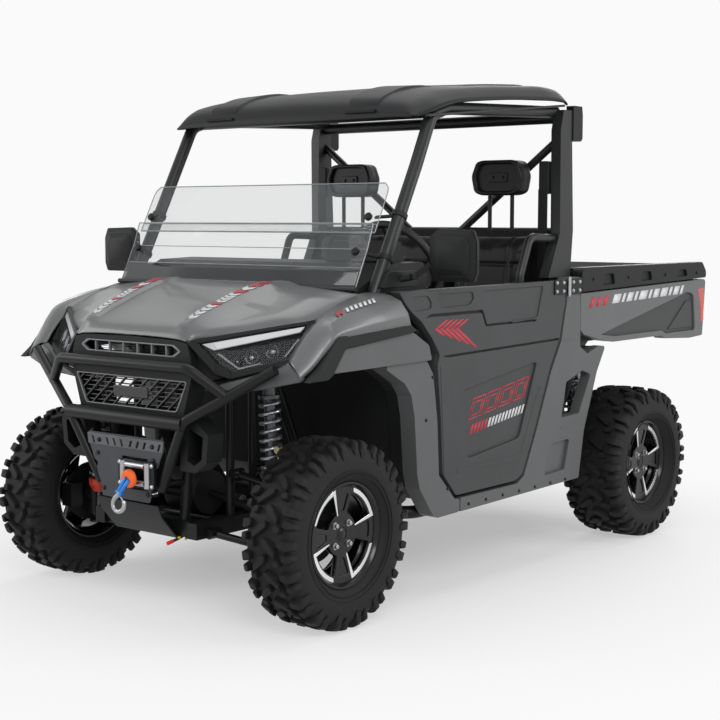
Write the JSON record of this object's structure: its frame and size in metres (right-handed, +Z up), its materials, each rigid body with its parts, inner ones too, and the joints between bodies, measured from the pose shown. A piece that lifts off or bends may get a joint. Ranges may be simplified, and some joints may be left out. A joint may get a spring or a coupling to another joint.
{
  "type": "side by side utility vehicle",
  "caption": "Side by side utility vehicle with roll cage, half doors, roof, half windscreen, front winch and tipping cargo bed.",
  "frame": {"origin": "centre of the footprint, on the ground", "axes": "front at -Y, the vehicle's left side at +X, +Z up"},
  "size_m": [2.01, 3.2144, 2.028],
  "materials": {
    "body_grey": "satin metallic grey paint",
    "light_grey": "semi gloss grey moulded plastic",
    "door_grey": "fine grained dark grey plastic",
    "bed_grey": "semi gloss mid grey plastic",
    "black_plastic": "grained black plastic",
    "roof_black": "grained black roof plastic",
    "frame_black": "satin black powder coat",
    "skid_steel": "dark grey stamped sheet",
    "plate_grey": "dark grey coated steel",
    "winch_metal": "brushed steel",
    "grille_black": "gloss black plastic",
    "lamp_lens": "clear lens over a dark housing",
    "screen_clear": "clear hard coated sheet",
    "tail_red": "red lens",
    "floor_black": "textured black floor",
    "seat_vinyl": "black vinyl with stitched panels",
    "wheel_rubber": "soft black rubber",
    "engine_cast": "cast aluminium",
    "muffler_steel": "satin steel",
    "arm_black": "satin black paint",
    "shock_steel": "black damper and spring",
    "drive_steel": "machined steel",
    "knuckle_cast": "cast and painted",
    "rod_zinc": "zinc plated steel",
    "rim_alloy": "black alloy with machined edges",
    "tyre_rubber": "black tread rubber"
  },
  "bodies": {
    "chassis": {"frame": "frame_black", "front_tower": "frame_black", "rear_tower": "frame_black", "cab_floor": "floor_black", "seat_box": "floor_black", "cab_wall": "floor_black", "skid_plate": "skid_steel", "brush_guard": "frame_black", "winch_plate": "plate_grey", "winch": "winch_metal", "hood": "body_grey", "front_fenders": "body_grey", "front_fascia": "black_plastic", "headlamps": "lamp_lens", "grilles": "grille_black", "arch_liners": "black_plastic", "fender_legs": "light_grey", "quarter_panels": "light_grey", "side_ducts": "black_plastic", "hinge_brackets": "frame_black", "cage": "frame_black", "rear_brackets": "frame_black", "roof": "roof_black", "windscreen": "screen_clear", "screen_clamps": "black_plastic", "mirrors": "black_plastic", "seat_cushions": "seat_vinyl", "seat_backs": "seat_vinyl", "headrests": "seat_vinyl", "headrest_posts": "rod_zinc", "dash": "black_plastic", "steering_column": "frame_black", "engine": "engine_cast", "exhaust": "muffler_steel", "suspension_arms": "arm_black", "shock_absorbers": "shock_steel", "drive_shafts": "drive_steel", "rear_hubs": "knuckle_cast", "steering_rack": "engine_cast"},
    "knuckle_left": {"knuckle_left": "knuckle_cast"},
    "knuckle_right": {"knuckle_right": "knuckle_cast"},
    "rack": {"tie_rods": "rod_zinc"},
    "steering_wheel": {"steering_wheel": "wheel_rubber"},
    "wheel_front_left": {"rim_front_left": "rim_alloy", "tyre_front_left": "tyre_rubber"},
    "wheel_front_right": {"rim_front_right": "rim_alloy", "tyre_front_right": "tyre_rubber"},
    "wheel_rear_left": {"rim_rear_left": "rim_alloy", "tyre_rear_left": "tyre_rubber"},
    "wheel_rear_right": {"rim_rear_right": "rim_alloy", "tyre_rear_right": "tyre_rubber"},
    "door_left": {"door_left": "door_grey"},
    "door_right": {"door_right": "door_grey"},
    "bed": {"cargo_bed": "black_plastic", "bed_sides": "bed_grey", "bed_rails": "black_plastic", "tail_lamps": "tail_red"},
    "tailgate": {"tailgate": "bed_grey"}
  },
  "joints": [
    {"name": "steer_left", "type": "hinge", "parent": "chassis", "child": "knuckle_left", "pos_m": [0.585, -1.18, 0.343], "axis": [0, 0, 1], "range_deg": [-30, 30]},
    {"name": "steer_right", "type": "hinge", "parent": "chassis", "child": "knuckle_right", "pos_m": [-0.585, -1.18, 0.343], "axis": [0, 0, 1], "range_deg": [-30, 30]},
    {"name": "rack_slide", "type": "slide", "parent": "chassis", "child": "rack", "axis": [1, 0, 0], "range_m": [-0.06, 0.06]},
    {"name": "steering_wheel_turn", "type": "hinge", "parent": "chassis", "child": "steering_wheel", "pos_m": [0.38003, -0.4, 1.28996], "axis": [0, 0.8192, 0.5736], "range_deg": [-271, 271]},
    {"name": "wheel_front_left_spin", "type": "hinge", "parent": "knuckle_left", "child": "wheel_front_left", "pos_m": [0.673, -1.18, 0.343], "axis": [1, 0, 0], "continuous": true},
    {"name": "wheel_front_right_spin", "type": "hinge", "parent": "knuckle_right", "child": "wheel_front_right", "pos_m": [-0.673, -1.18, 0.343], "axis": [1, 0, 0], "continuous": true},
    {"name": "wheel_rear_left_spin", "type": "hinge", "parent": "chassis", "child": "wheel_rear_left", "pos_m": [0.705, 0.9, 0.343], "axis": [1, 0, 0], "continuous": true},
    {"name": "wheel_rear_right_spin", "type": "hinge", "parent": "chassis", "child": "wheel_rear_right", "pos_m": [-0.705, 0.9, 0.343], "axis": [1, 0, 0], "continuous": true},
    {"name": "door_left_swing", "type": "hinge", "parent": "chassis", "child": "door_left", "pos_m": [0.758, 0.29992, 0.8], "axis": [0, 0, 1], "range_deg": [0, 75]},
    {"name": "door_right_swing", "type": "hinge", "parent": "chassis", "child": "door_right", "pos_m": [-0.758, 0.29992, 0.8], "axis": [0, 0, -1], "range_deg": [0, 75]},
    {"name": "bed_tilt", "type": "hinge", "parent": "chassis", "child": "bed", "pos_m": [0, 1.25006, 0.88799], "axis": [-1, 0, 0], "range_deg": [0, 45]},
    {"name": "tailgate_fold", "type": "hinge", "parent": "bed", "child": "tailgate", "pos_m": [0, 1.55396, 0.92999], "axis": [-1, 0, 0], "range_deg": [0, 90]}
  ],
  "couplings": [
    {"joint": "steer_right", "follows": "steer_left", "ratio": 1},
    {"joint": "rack_slide", "follows": "steer_left", "m_per_rad": -0.11},
    {"joint": "steering_wheel_turn", "follows": "steer_left", "ratio": 9}
  ]
}
